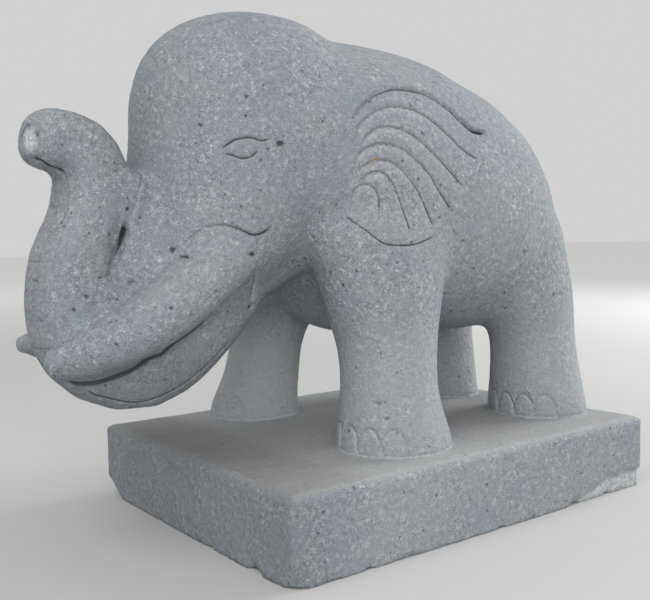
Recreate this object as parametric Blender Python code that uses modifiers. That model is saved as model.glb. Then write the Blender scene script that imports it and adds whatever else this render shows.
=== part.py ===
"""A stone elephant standing on its plinth, all one carved block. Metres, +Z up.

The elephant faces -X and its left side is towards -Y. The origin is the centre of the plinth's
underside. Soft forms are lofted through named sections, made one skin, and then carved.
"""

import math

import bmesh
import bpy
import numpy as np
from mathutils import Vector
from mathutils.bvhtree import BVHTree

# Plinth
PLINTH_LENGTH = 0.374
PLINTH_WIDTH = 0.294
PLINTH_HEIGHT = 0.062
PLINTH_EDGE = 0.003

# The elephant stands a little askew on its plinth: its middle line drifts towards +Y at the head
MIDLINE_START_X = 0.145
MIDLINE_START_Y = -0.001
MIDLINE_DRIFT = 0.035

# Sections of each form: x, y from the middle line, z, half width across, half depth along
BODY = (
    (0.050, 0, 0.255, 0.114, 0.114),
    (0.015, 0, 0.2625, 0.118, 0.117),
    (-0.045, 0, 0.266, 0.120, 0.119),
    (-0.095, 0, 0.290, 0.108, 0.091),
    (-0.140, 0, 0.298, 0.088, 0.078),
)
BODY_DOMES = (0.148, 0.020)
RUMP_LEAN = (0, 0, -0.032)
HEAD = (
    (-0.172, 0, 0.185, 0.052, 0.046),
    (-0.148, 0, 0.220, 0.078, 0.070),
    (-0.121, 0, 0.260, 0.091, 0.092),
    (-0.1165, 0, 0.305, 0.094, 0.0895),
)
HEAD_DOMES = (0.016, 0.094)
BROW_LEAN = (-0.0045, 0, 0)
JAW = (
    (-0.104, 0, 0.240, 0.072, 0.058),
    (-0.120, 0, 0.208, 0.056, 0.036),
    (-0.130, 0, 0.188, 0.036, 0.020),
)
JAW_DOMES = (0.010, 0.014)
TRUNK = (
    (-0.160, 0, 0.222, 0.050, 0.062),
    (-0.190, 0, 0.184, 0.043, 0.062),
    (-0.222, 0, 0.162, 0.039, 0.062),
    (-0.247, 0, 0.168, 0.038, 0.050),
    (-0.261, 0, 0.192, 0.037, 0.033),
    (-0.263, 0, 0.216, 0.036, 0.0235),
    (-0.2535, 0, 0.240, 0.035, 0.0205),
    (-0.248, 0, 0.258, 0.033, 0.022),
    (-0.246, 0, 0.274, 0.032, 0.023),
    (-0.256, 0, 0.292, 0.031, 0.0215),
    (-0.273, 0, 0.297, 0.029, 0.021),
)
TRUNK_DOMES = (0.030, 0.020)
TRUNK_WEB = (
    (-0.215, 0, 0.215, 0.036, 0.028),
    (-0.2225, 0, 0.232, 0.0285, 0.0185),
    (-0.2255, 0, 0.255, 0.033, 0.0155),
    (-0.2255, 0, 0.270, 0.032, 0.0135),
)
TRUNK_WEB_DOMES = (0.010, 0.006)
TUSK = (
    (-0.160, -0.058, 0.221, 0.023, 0.023),
    (-0.181, -0.057, 0.204, 0.025, 0.022),
    (-0.212, -0.053, 0.180, 0.024, 0.022),
    (-0.233, -0.049, 0.166, 0.022, 0.020),
    (-0.252, -0.046, 0.157, 0.020, 0.018),
    (-0.274, -0.040, 0.148, 0.015, 0.015),
    (-0.288, -0.037, 0.145, 0.010, 0.011),
)
TUSK_DOMES = (0.020, 0.009)
FAR_TUSK = (
    (-0.160, 0.058, 0.221, 0.023, 0.023),
    (-0.181, 0.057, 0.204, 0.025, 0.022),
    (-0.212, 0.053, 0.180, 0.024, 0.022),
    (-0.233, 0.049, 0.166, 0.022, 0.020),
    (-0.252, 0.045, 0.158, 0.019, 0.017),
    (-0.274, 0.038, 0.151, 0.012, 0.012),
    (-0.286, 0.035, 0.152, 0.006, 0.007),
)
FAR_TUSK_DOMES = (0.020, 0.008)
NEAR_FORELEG = (
    (-0.046, -0.088, 0.045, 0.048, 0.048),
    (-0.046, -0.088, 0.072, 0.044, 0.044),
    (-0.047, -0.086, 0.100, 0.039, 0.038),
    (-0.047, -0.084, 0.135, 0.039, 0.0375),
    (-0.048, -0.081, 0.175, 0.042, 0.048),
    (-0.046, -0.074, 0.225, 0.048, 0.064),
)
FAR_FORELEG = (
    (-0.058, 0.096, 0.045, 0.041, 0.044),
    (-0.058, 0.096, 0.072, 0.040, 0.040),
    (-0.053, 0.091, 0.100, 0.035, 0.035),
    (-0.048, 0.086, 0.135, 0.034, 0.034),
    (-0.037, 0.080, 0.175, 0.040, 0.044),
    (-0.036, 0.072, 0.225, 0.046, 0.053),
)
NEAR_HIND_LEG = (
    (0.144, -0.065, 0.045, 0.048, 0.042),
    (0.143, -0.065, 0.072, 0.045, 0.041),
    (0.141, -0.065, 0.100, 0.040, 0.039),
    (0.138, -0.064, 0.135, 0.038, 0.038),
    (0.130, -0.061, 0.175, 0.040, 0.049),
    (0.121, -0.055, 0.225, 0.042, 0.052),
)
FAR_HIND_LEG = (
    (0.143, 0.065, 0.045, 0.046, 0.038),
    (0.143, 0.065, 0.072, 0.043, 0.037),
    (0.141, 0.065, 0.100, 0.040, 0.038),
    (0.138, 0.064, 0.135, 0.038, 0.038),
    (0.130, 0.061, 0.175, 0.040, 0.049),
    (0.121, 0.055, 0.225, 0.042, 0.052),
)
LEG_DOMES = (0.004, 0.030)

# Carved lines on the flank, as x and z along the near side; the far side repeats them
EAR_TOP = (
    (-0.093, 0.308), (-0.085, 0.318), (-0.073, 0.327), (-0.052, 0.335), (-0.035, 0.336),
    (-0.019, 0.334), (-0.002, 0.325), (0.010, 0.315), (0.022, 0.307), (0.041, 0.306),
)
EAR_REAR_AND_FOOT = (
    (0.041, 0.306), (0.030, 0.289), (0.019, 0.271), (0.007, 0.255), (-0.008, 0.238), (-0.026, 0.225),
    (-0.047, 0.219), (-0.062, 0.218), (-0.074, 0.219), (-0.082, 0.224), (-0.090, 0.235),
)
EAR_RIBS = (
    (
        (-0.092, 0.297), (-0.086, 0.308), (-0.066, 0.319), (-0.043, 0.320),
        (-0.027, 0.314), (-0.008, 0.300), (0.006, 0.289), (0.023, 0.282),
    ),
    (
        (-0.089, 0.291), (-0.080, 0.301), (-0.065, 0.305), (-0.048, 0.301),
        (-0.031, 0.289), (-0.016, 0.276), (0.004, 0.260),
    ),
    (
        (-0.092, 0.281), (-0.086, 0.288), (-0.073, 0.292), (-0.057, 0.289),
        (-0.044, 0.280), (-0.032, 0.269), (-0.023, 0.257), (-0.008, 0.241),
    ),
    (
        (-0.090, 0.273), (-0.083, 0.278), (-0.073, 0.280), (-0.063, 0.277),
        (-0.052, 0.267), (-0.043, 0.256), (-0.035, 0.242), (-0.028, 0.229),
    ),
    (
        (-0.088, 0.265), (-0.081, 0.271), (-0.073, 0.271), (-0.065, 0.263),
        (-0.060, 0.253), (-0.055, 0.238), (-0.053, 0.225),
    ),
    (
        (-0.092, 0.251), (-0.091, 0.259), (-0.087, 0.262), (-0.082, 0.262),
        (-0.077, 0.258), (-0.074, 0.249), (-0.075, 0.240),
    ),
)
UPPER_EYELID = (
    (-0.183, 0.286), (-0.177, 0.291), (-0.172, 0.294), (-0.164, 0.295), (-0.157, 0.293), (-0.148, 0.295),
)
LOWER_EYELID = ((-0.182, 0.285), (-0.175, 0.283), (-0.170, 0.281), (-0.164, 0.282), (-0.157, 0.289))
LIP = (
    (-0.204, 0.218), (-0.200, 0.226), (-0.194, 0.232), (-0.187, 0.235), (-0.180, 0.235),
    (-0.171, 0.232), (-0.162, 0.228), (-0.154, 0.229), (-0.147, 0.234),
)
TUSK_UNDERSIDE = (
    (-0.284, 0.132), (-0.270, 0.130), (-0.258, 0.132), (-0.245, 0.135), (-0.234, 0.139), (-0.212, 0.147),
    (-0.200, 0.154), (-0.188, 0.162), (-0.175, 0.176), (-0.164, 0.192), (-0.160, 0.208),
)
TRUNK_NOTCH = ((-0.252, 0.198), (-0.246, 0.206), (-0.239, 0.219), (-0.234, 0.232), (-0.231, 0.250))

# Each groove's depth, and its width above and below the line
EAR_TOP_CUT = (0.0050, 0.0016, 0.0120)
EAR_RIM_CUT = (0.0016, 0.0020, 0.0020)
EAR_RIB_CUT = (0.0024, 0.0016, 0.0070)
EYE_CUT = (0.0022, 0.0020, 0.0020)
LIP_CUT = (0.0040, 0.0020, 0.0060)
TUSK_CUT = (0.0065, 0.0016, 0.0110)
NOTCH_CUT = (0.0050, 0.0040, 0.0040)
BAND_CUT = (0.0025, 0.0028, 0.0028)
FOLD_CUT = (0.0022, 0.0024, 0.0024)
NAIL_CUT = (0.0018, 0.0020, 0.0020)
GROOVE_END = 0.006
SHALLOWEST = 0.15

# The ridged band down the outer side of the trunk, and the folds across it
BAND_SHARE = 0.68
BAND_START = 0.065
FOLD_SPACING = 0.021

# Toenails: an arch of this half width and height, set round the front of each foot
NAIL_HALF_WIDTH = 0.0105
NAIL_HEIGHT = 0.020
NAIL_COUNT = 4
NAIL_FIRST_TURN = math.radians(152)
NAIL_TURN = math.radians(25)

# How each form's sections and domes are squared off, how far its joins reach, and how evenly it is faired
SQUARENESS = {"body": 2.15, "head": 2.2, "jaw": 2.0, "trunk": 3.0, "tusk": 2.1, "leg": 2.1}
DOME_SQUARENESS = {"body": 2.05, "head": 2.5, "jaw": 2.0, "trunk": 2.4, "tusk": 2.0, "leg": 2.0}
JOIN_REACH = {"body": 0.080, "head": 0.080, "jaw": 0.012, "trunk": 0.012, "tusk": 0.005, "leg": 0.036}
FAIRING = {"body": 0.7, "head": 0.7, "jaw": 0.1, "trunk": 0.1, "tusk": 0.0, "leg": 0.2}

# How finely the forms, the skin and the carved lines are worked out
FORWARD = (-1.0, 0.0, 0.0)
UPWARD = (0.0, 0.0, 1.0)
RING_SIDES = 64
RING_SPACING = 0.010
DOME_RINGS = 6
VOXEL = 0.0035
SOFTENING_STEPS = 45
LINE_SPACING = 0.001
FOLD_POINTS = 50
ARCH_POINTS = 40
BEYOND = 0.400
TRIANGLES = 9300

# The stone
STONE_COLOUR = (0.27, 0.29, 0.31, 1.0)
STONE_ROUGHNESS = 0.9
SMOOTH_UNDER = math.radians(40)


def clear_scene():
    """Removes whatever the file held before."""
    for held in list(bpy.data.objects):
        bpy.data.objects.remove(held, do_unlink=True)


def midline(x):
    """How far the elephant's middle line lies from the plinth's, at this x."""
    return MIDLINE_START_Y + MIDLINE_DRIFT * (MIDLINE_START_X - x)


def smooth_rows(rows, spacing=RING_SPACING):
    """Rows read from a Catmull-Rom curve through the given ones, about the spacing apart."""
    knots = np.array(rows, float)
    knots = np.vstack([2 * knots[0] - knots[1], knots, 2 * knots[-1] - knots[-2]])
    found = []
    for before, start, end, after in zip(knots, knots[1:], knots[2:], knots[3:]):
        steps = max(1, round(np.linalg.norm(end[:3] - start[:3]) / spacing))
        for t in np.arange(steps) / steps:
            bend = (2 * before - 5 * start + 4 * end - after) * t**2
            twist = (3 * start - before - 3 * end + after) * t**3
            found.append((2 * start + (end - before) * t + bend + twist) / 2)
    found.append(knots[-2])
    return np.array(found)


def rounded_square(squareness):
    """Points round a superellipse of half width 1, as pairs across and along."""
    turns = np.arange(RING_SIDES) * 2 * math.pi / RING_SIDES
    across, along = np.cos(turns), np.sin(turns)
    power = 2 / squareness
    return np.sign(across) * np.abs(across) ** power, np.sign(along) * np.abs(along) ** power


def loft(kind, rows, domes, facing=None, first_lean=(0, 0, 0), last_lean=(0, 0, 0)):
    """A closed solid through the rows' sections, with domed ends.

    The sections are square to the path, or to the facing direction where one is given. Each dome's
    tip leans by the shift given for it.
    """
    rows = smooth_rows(rows)
    rows[:, 1] += midline(rows[:, 0])
    path = rows[:, :3]
    heading = np.gradient(path, axis=0) if facing is None else np.tile(facing, (len(path), 1))
    heading /= np.linalg.norm(heading, axis=1)[:, None]
    sections = list(zip(path, heading, rows[:, 3:], np.ones(len(rows))))
    tips = (first_lean - heading[0] * domes[0], last_lean + heading[-1] * domes[1])
    power = 2 / DOME_SQUARENESS[kind]
    for turn in np.linspace(0, math.pi / 2, DOME_RINGS + 1)[1:-1]:
        for end in (0, -1):
            centre = path[end] + tips[end] * math.sin(turn) ** power
            section = (centre, heading[end], rows[end, 3:], math.cos(turn) ** power)
            sections.insert(0 if end == 0 else len(sections), section)
    shape = bmesh.new()
    rings = []
    for centre, ahead, (half_across, half_along), scale in sections:
        across = np.array((0.0, 1.0, 0.0)) - ahead[1] * ahead
        across /= np.linalg.norm(across)
        along = np.cross(ahead, across)
        u, v = rounded_square(SQUARENESS[kind])
        ring = centre + scale * (
            np.outer(u * half_across, across) + np.outer(v * half_along, along)
        )
        rings.append([shape.verts.new(point) for point in ring])
    for ring, following in zip(rings, rings[1:]):
        for i in range(RING_SIDES):
            j = (i + 1) % RING_SIDES
            shape.faces.new((ring[i], ring[j], following[j], following[i]))
    for end, ring in ((0, rings[0]), (-1, rings[-1])):
        tip = shape.verts.new(path[end] + tips[end])
        for i in range(RING_SIDES):
            shape.faces.new((tip, ring[i], ring[(i + 1) % RING_SIDES]))
    bmesh.ops.recalc_face_normals(shape, faces=shape.faces)
    return kind, shape


def elephant_forms():
    """Every form of the elephant, as (kind, bmesh)."""
    return [
        loft("body", BODY, BODY_DOMES, FORWARD, first_lean=RUMP_LEAN),
        loft("head", HEAD, HEAD_DOMES, UPWARD, last_lean=BROW_LEAN),
        loft("jaw", JAW, JAW_DOMES),
        loft("trunk", TRUNK, TRUNK_DOMES),
        loft("trunk", TRUNK_WEB, TRUNK_WEB_DOMES, UPWARD),
        loft("tusk", TUSK, TUSK_DOMES),
        loft("tusk", FAR_TUSK, FAR_TUSK_DOMES),
        loft("leg", NEAR_FORELEG, LEG_DOMES, UPWARD),
        loft("leg", FAR_FORELEG, LEG_DOMES, UPWARD),
        loft("leg", NEAR_HIND_LEG, LEG_DOMES, UPWARD),
        loft("leg", FAR_HIND_LEG, LEG_DOMES, UPWARD),
    ]


def linked(name, mesh, collection):
    made = bpy.data.objects.new(name, mesh)
    collection.objects.link(made)
    return made


def applied(obj):
    """The object's mesh with its modifiers applied, which are then taken off it."""
    bpy.context.view_layer.update()
    graph = bpy.context.evaluated_depsgraph_get()
    mesh = bpy.data.meshes.new_from_object(obj.evaluated_get(graph))
    obj.modifiers.clear()
    old = obj.data
    obj.data = mesh
    bpy.data.meshes.remove(old)
    return mesh


def one_skin(forms, name, collection):
    """All the forms as one closed skin of small squares."""
    joined = bmesh.new()
    for _, shape in forms:
        part = bpy.data.meshes.new("form")
        shape.to_mesh(part)
        joined.from_mesh(part)
        bpy.data.meshes.remove(part)
    mesh = bpy.data.meshes.new(name)
    joined.to_mesh(mesh)
    joined.free()
    skin = linked(name, mesh, collection)
    remesh = skin.modifiers.new("one skin", "REMESH")
    remesh.mode = "VOXEL"
    remesh.voxel_size = VOXEL
    applied(skin)
    return skin


def soften_joins(skin, forms):
    """Smooths the skin where two forms meet, as far as the sharper of the two allows."""
    trees = [(kind, BVHTree.FromBMesh(shape)) for kind, shape in forms]
    group = skin.vertex_groups.new(name="joins")
    for vertex in skin.data.vertices:
        near = []
        for kind, tree in trees:
            distance = tree.find_nearest(vertex.co, JOIN_REACH[kind])[3]
            if distance is not None:
                near.append((distance, JOIN_REACH[kind], FAIRING[kind]))
        near.sort()
        weight = near[0][2] if near else 0.0
        for i, (distance, reach, _) in enumerate(near):
            for other_distance, other_reach, _ in near[i + 1 :]:
                limit = min(reach, other_reach)
                weight = max(weight, 1 - max(distance, other_distance) / limit)
        if weight > 0:
            group.add((vertex.index,), weight, "REPLACE")
    smooth = skin.modifiers.new("soften joins", "SMOOTH")
    smooth.factor = 0.5
    smooth.iterations = SOFTENING_STEPS
    smooth.vertex_group = "joins"
    applied(skin)


def quartered(skin):
    """Each of the skin's squares as four, on the smooth surface through them."""
    subdivide = skin.modifiers.new("quartered", "SUBSURF")
    subdivide.levels = 1
    subdivide.render_levels = 1
    applied(skin)


def met(tree, starts, aims):
    """Where rays from the starts first meet the skin, leaving out those that miss."""
    found = []
    for start, aim in zip(starts, aims):
        place = tree.ray_cast(Vector(start), Vector(aim))[0]
        if place is not None:
            found.append(place)
    return np.array(found)


def flank_line(tree, points, side):
    """The line on one flank, drawn so that its left hand is the upper side on both."""
    points = smooth_rows(points, LINE_SPACING)
    points = points if side < 0 else points[::-1]
    starts = [(x, side * BEYOND, z) for x, z in points]
    return met(tree, starts, [(0, -side, 0)] * len(starts))


def trunk_frame():
    """The trunk's path, its half widths, and its across and outward directions, ring by ring."""
    rows = smooth_rows(TRUNK, LINE_SPACING)
    rows[:, 1] += midline(rows[:, 0])
    path = rows[:, :3]
    ahead = np.gradient(path, axis=0)
    ahead /= np.linalg.norm(ahead, axis=1)[:, None]
    across = np.tile((0.0, 1.0, 0.0), (len(path), 1))
    across -= ahead[:, 1:2] * ahead
    across /= np.linalg.norm(across, axis=1)[:, None]
    outward = np.cross(ahead, across)
    outer = path + outward * rows[:, 4:5]
    travelled = np.concatenate([[0], np.cumsum(np.linalg.norm(np.diff(outer, axis=0), axis=1))])
    return path, rows[:, 3:4], across, outward, travelled


def band_lines(tree):
    """The two edges of the ridged band, and the folds across it."""
    path, half_width, across, outward, travelled = trunk_frame()
    starts = path + outward * BEYOND / 4
    reach = across * half_width * BAND_SHARE
    along_band = np.flatnonzero(travelled > BAND_START)
    edges = [
        met(tree, (starts + side * reach)[along_band], -outward[along_band]) for side in (-1, 1)
    ]
    folds = []
    shares = np.linspace(-1, 1, FOLD_POINTS)
    for place in np.arange(BAND_START, travelled[-1], FOLD_SPACING):
        i = np.searchsorted(travelled, place)
        folds.append(met(tree, starts[i] + np.outer(shares, reach[i]), [-outward[i]] * FOLD_POINTS))
    return edges, folds


def nail_lines(tree, leg, side):
    """The arches of the toenails on one foot."""
    x, y = leg[1][0], leg[1][1]
    centre = np.array((x, y + midline(x)))
    radius = leg[1][3]
    lines = []
    for i in range(NAIL_COUNT):
        middle = -side * (NAIL_FIRST_TURN + i * NAIL_TURN)
        starts, aims = [], []
        for arch in np.linspace(0, math.pi, ARCH_POINTS):
            turn = middle + NAIL_HALF_WIDTH * math.cos(arch) / radius
            outward = np.array((math.cos(turn), math.sin(turn)))
            z = PLINTH_HEIGHT + NAIL_HEIGHT * math.sin(arch)
            starts.append((*(centre + outward * 2 * radius), z))
            aims.append((*-outward, 0))
        lines.append(met(tree, starts, aims))
    return lines


def carved_lines(tree):
    """Every carved line on the skin, as (points, (depth, width above, width below))."""
    lines = []
    for side in (-1, 1):
        flank = [(EAR_TOP, EAR_TOP_CUT), (EAR_REAR_AND_FOOT, EAR_RIM_CUT), (LIP, LIP_CUT)]
        flank += [(rib, EAR_RIB_CUT) for rib in EAR_RIBS]
        flank += [(UPPER_EYELID, EYE_CUT), (LOWER_EYELID, EYE_CUT)]
        flank += [(TUSK_UNDERSIDE, TUSK_CUT), (TRUNK_NOTCH, NOTCH_CUT)]
        lines += [(flank_line(tree, points, side), cut) for points, cut in flank]
    edges, folds = band_lines(tree)
    lines += [(edge, BAND_CUT) for edge in edges]
    lines += [(fold, FOLD_CUT) for fold in folds]
    feet = ((NEAR_FORELEG, -1), (NEAR_HIND_LEG, -1), (FAR_FORELEG, 1), (FAR_HIND_LEG, 1))
    for leg, side in feet:
        lines += [(nail, NAIL_CUT) for nail in nail_lines(tree, leg, side)]
    return lines


def groove_depth(points, normals, line, cut):
    """How deep a groove cuts at each point: full on its line, nothing past its widths."""
    depth, above, below = cut
    tangents = np.gradient(line, axis=0)
    travelled = np.concatenate([[0], np.cumsum(np.linalg.norm(np.diff(line, axis=0), axis=1))])
    apart = points[:, None, :] - line[None]
    distances = np.linalg.norm(apart, axis=2)
    nearest = distances.argmin(axis=1)
    rows = np.arange(len(points))
    distance = distances[rows, nearest]
    leftward = np.cross(normals, tangents[nearest])
    left = (apart[rows, nearest] * leftward).sum(axis=1) > 0
    width = np.where(left, above, below)
    place = travelled[nearest]
    fade = np.clip(np.minimum(place, travelled[-1] - place) / GROOVE_END, SHALLOWEST, 1)
    return depth * fade * np.clip(1 - distance / width, 0, 1)


def carve(skin):
    """Cuts every carved line into the skin."""
    mesh = skin.data
    points = np.empty(len(mesh.vertices) * 3)
    mesh.vertices.foreach_get("co", points)
    points = points.reshape(-1, 3)
    normals = np.empty(len(points) * 3, np.float32)
    mesh.vertex_normals.foreach_get("vector", normals)
    normals = normals.reshape(-1, 3)
    tree = BVHTree.FromPolygons(
        [tuple(point) for point in points], [tuple(face.vertices) for face in mesh.polygons]
    )
    cut_in = np.zeros(len(points))
    for line, cut in carved_lines(tree):
        reach = max(cut[1:])
        low, high = line.min(axis=0) - reach, line.max(axis=0) + reach
        near = np.flatnonzero(((points > low) & (points < high)).all(axis=1))
        found = groove_depth(points[near], normals[near], line, cut)
        cut_in[near] = np.maximum(cut_in[near], found)
    points -= normals * cut_in[:, None]
    mesh.vertices.foreach_set("co", points.reshape(-1))
    mesh.update()


def thin_out(skin):
    """Leaves the skin with as many triangles as wanted, most of them where it bends."""
    decimate = skin.modifiers.new("thin out", "DECIMATE")
    decimate.ratio = TRIANGLES / (2 * len(skin.data.polygons))
    applied(skin)


def plinth_slab(collection):
    """The plinth's slab, flat below and softly rounded on its other edges."""
    slab = bmesh.new()
    bmesh.ops.create_cube(slab, size=1)
    bmesh.ops.scale(slab, vec=(PLINTH_LENGTH, PLINTH_WIDTH, PLINTH_HEIGHT), verts=slab.verts)
    bmesh.ops.translate(slab, vec=(0, 0, PLINTH_HEIGHT / 2), verts=slab.verts)
    rounded = [edge for edge in slab.edges if max(vert.co.z for vert in edge.verts) > 0]
    bmesh.ops.bevel(
        slab, geom=rounded, offset=PLINTH_EDGE, segments=2, profile=0.5, affect="EDGES", material=-1
    )
    mesh = bpy.data.meshes.new("plinth_slab")
    slab.to_mesh(mesh)
    slab.free()
    helper = linked("plinth_slab", mesh, collection)
    helper.hide_render = True
    helper.display_type = "WIRE"
    return helper


def stone():
    """Dull blue-grey volcanic stone."""
    material = bpy.data.materials.new("grey_volcanic_stone")
    material.use_nodes = True
    shader = material.node_tree.nodes["Principled BSDF"]
    shader.inputs["Base Color"].default_value = STONE_COLOUR
    shader.inputs["Roughness"].default_value = STONE_ROUGHNESS
    shader.inputs["Metallic"].default_value = 0.0
    return material


def main():
    clear_scene()
    parts = bpy.data.collections.new("stone_elephant")
    helpers = bpy.data.collections.new("helpers")
    for collection in (parts, helpers):
        bpy.context.scene.collection.children.link(collection)
    forms = elephant_forms()
    skin = one_skin(forms, "elephant_on_plinth", parts)
    soften_joins(skin, forms)
    quartered(skin)
    carve(skin)
    thin_out(skin)
    union = skin.modifiers.new("stands on the plinth", "BOOLEAN")
    union.operation = "UNION"
    union.solver = "EXACT"
    union.object = plinth_slab(helpers)
    applied(skin)
    skin.data.materials.clear()
    skin.data.materials.append(stone())
    skin.data.shade_smooth()
    skin.data.set_sharp_from_angle(angle=SMOOTH_UNDER)


main()
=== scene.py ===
"""A stone elephant carved in one block with its plinth, its weathered finish and a plain studio.

The elephant faces -X with its left side towards -Y, and the origin is under the plinth's centre. Soft
forms are lofted through named sections, fused into one skin, carved along drawn lines and weathered.
"""

import math
from collections import namedtuple

import bmesh
import bpy
import numpy as np
from mathutils import Matrix, Vector, noise
from mathutils.bvhtree import BVHTree


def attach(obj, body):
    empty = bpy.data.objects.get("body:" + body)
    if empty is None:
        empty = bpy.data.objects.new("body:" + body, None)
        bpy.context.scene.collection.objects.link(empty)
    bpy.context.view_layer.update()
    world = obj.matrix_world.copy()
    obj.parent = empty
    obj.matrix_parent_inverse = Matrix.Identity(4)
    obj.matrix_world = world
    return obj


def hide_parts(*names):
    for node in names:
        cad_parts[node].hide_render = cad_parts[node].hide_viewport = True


bl_info = {
    "name": "Stone Elephant on a Plinth",
    "version": (1, 0, 0),
    "blender": (4, 5, 0),
    "location": "View3D > Sidebar > Elephant",
    "description": "Carves and weathers a stone elephant with its plinth, and sets a plain studio",
    "category": "Add Mesh",
}

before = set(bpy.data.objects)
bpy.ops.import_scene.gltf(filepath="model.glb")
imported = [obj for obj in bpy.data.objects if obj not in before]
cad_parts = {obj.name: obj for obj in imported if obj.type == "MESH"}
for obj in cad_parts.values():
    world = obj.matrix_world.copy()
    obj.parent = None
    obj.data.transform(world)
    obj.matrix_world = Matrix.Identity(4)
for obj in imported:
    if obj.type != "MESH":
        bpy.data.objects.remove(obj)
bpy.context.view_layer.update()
NODE = "elephant_on_plinth"
PIECE = "carved_elephant"

# The elephant's middle line drifts towards +Y at the head
MIDLINE_START_X = 0.145
MIDLINE_START_Y = -0.001
MIDLINE_DRIFT = 0.035

# Sections of each form, in millimetres: x, y from the middle line, z, half width across, half depth along
BODY = (
    (50, 0, 255, 114, 114),
    (15, 0, 262.5, 118, 117),
    (-45, 0, 266, 120, 119),
    (-95, 0, 290, 108, 91),
    (-140, 0, 298, 88, 78),
)
HEAD = (
    (-172, 0, 185, 52, 46),
    (-148, 0, 220, 78, 70),
    (-121, 0, 260, 91, 92),
    (-116.5, 0, 305, 94, 89.5),
)
JAW = (
    (-104, 0, 240, 72, 58),
    (-120, 0, 208, 56, 36),
    (-130, 0, 188, 36, 20),
)
TRUNK = (
    (-160, 0, 222, 50, 62),
    (-190, 0, 184, 43, 62),
    (-222, 0, 162, 39, 62),
    (-247, 0, 168, 38, 50),
    (-261, 0, 192, 37, 33),
    (-263, 0, 216, 36, 23.5),
    (-253.5, 0, 240, 35, 20.5),
    (-248, 0, 258, 33, 22),
    (-246, 0, 274, 32, 23),
    (-256, 0, 292, 31, 21.5),
    (-273, 0, 297, 29, 21),
)
TRUNK_WEB = (
    (-215, 0, 215, 36, 28),
    (-222.5, 0, 232, 28.5, 18.5),
    (-225.5, 0, 255, 33, 15.5),
    (-225.5, 0, 270, 32, 13.5),
)
TUSK = (
    (-160, -58, 221, 23, 23),
    (-181, -57, 204, 25, 22),
    (-212, -53, 180, 24, 22),
    (-233, -49, 166, 22, 20),
    (-252, -46, 157, 20, 18),
    (-274, -40, 148, 15, 15),
    (-288, -37, 145, 10, 11),
)
FAR_TUSK = (
    *((x, -y, z, across, along) for x, y, z, across, along in TUSK[:4]),
    (-252, 45, 158, 19, 17),
    (-274, 38, 151, 12, 12),
    (-286, 35, 152, 6, 7),
)
NEAR_FORELEG = (
    (-46, -88, 45, 48, 48),
    (-46, -88, 72, 44, 44),
    (-47, -86, 100, 39, 38),
    (-47, -84, 135, 39, 37.5),
    (-48, -81, 175, 42, 48),
    (-46, -74, 225, 48, 64),
)
FAR_FORELEG = (
    (-58, 96, 45, 41, 44),
    (-58, 96, 72, 40, 40),
    (-53, 91, 100, 35, 35),
    (-48, 86, 135, 34, 34),
    (-37, 80, 175, 40, 44),
    (-36, 72, 225, 46, 53),
)
NEAR_HIND_LEG = (
    (144, -65, 45, 48, 42),
    (143, -65, 72, 45, 41),
    (141, -65, 100, 40, 39),
    (138, -64, 135, 38, 38),
    (130, -61, 175, 40, 49),
    (121, -55, 225, 42, 52),
)
FAR_HIND_LEG = (
    (143, 65, 45, 46, 38),
    (143, 65, 72, 43, 37),
    (141, 65, 100, 40, 38),
    *((x, -y, z, across, along) for x, y, z, across, along in NEAR_HIND_LEG[3:]),
)

# How far the first and the last end of each form are domed, and which way a dome's tip leans
BODY_DOMES = (0.148, 0.020)
HEAD_DOMES = (0.016, 0.094)
JAW_DOMES = (0.010, 0.014)
TRUNK_DOMES = (0.030, 0.020)
WEB_DOMES = (0.010, 0.006)
TUSK_DOMES = (0.020, 0.009)
FAR_TUSK_DOMES = (0.020, 0.008)
LEG_DOMES = (0.004, 0.030)
RUMP_LEAN = (0, 0, -0.032)
BROW_LEAN = (-0.0045, 0, 0)

# Each kind of form: how square its sections and its domes are, how far its joins reach, how evenly it is faired
Form = namedtuple("Form", "squareness dome_squareness join_reach fairing")
FORMS = {
    "body": Form(2.15, 2.05, 0.080, 0.7),
    "head": Form(2.2, 2.5, 0.080, 0.7),
    "jaw": Form(2.0, 2.0, 0.012, 0.1),
    "trunk": Form(3.0, 2.4, 0.012, 0.1),
    "tusk": Form(2.1, 2.0, 0.005, 0.0),
    "leg": Form(2.1, 2.0, 0.036, 0.2),
}

# Lines carved on the flank and repeated on the far one, in millimetres: as x and z, met from the side, or as
# x, y and z
EAR_TOP = (
    (-93, 308), (-85, 318), (-73, 327), (-52, 335), (-35, 336), (-19, 334), (-2, 325), (10, 315), (22, 307),
    (41, 306),
)
EAR_REAR = ((41, 306), (30, 289), (19, 271), (7, 255), (-8, 238), (-26, 225))
EAR_FOOT = ((-26, 225), (-47, 219), (-62, 218), (-76, 220), (-87, 230), (-97, 243))
EAR_RIBS = (
    ((-92, 297), (-86, 308), (-66, 319), (-43, 320), (-27, 314), (-8, 300), (6, 289), (23, 282)),
    ((-89, 291), (-80, 301), (-65, 305), (-48, 301), (-31, 289), (-16, 276), (4, 260)),
    ((-92, 281), (-86, 288), (-73, 292), (-57, 289), (-44, 280), (-32, 269), (-23, 257), (-8, 241)),
    ((-90, 273), (-83, 278), (-73, 280), (-63, 277), (-52, 267), (-43, 256), (-35, 242), (-28, 229)),
    ((-88, 265), (-81, 271), (-73, 271), (-65, 263), (-60, 253), (-55, 238), (-53, 225)),
    ((-92, 251), (-91, 259), (-87, 262), (-82, 262), (-77, 258), (-74, 249), (-75, 240)),
)
UPPER_EYELID = ((-183, 286), (-177, 291), (-172, 294), (-164, 295), (-157, 293), (-148, 295))
LOWER_EYELID = ((-182, 285), (-175, 283), (-170, 281), (-164, 282), (-157, 289))
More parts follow.
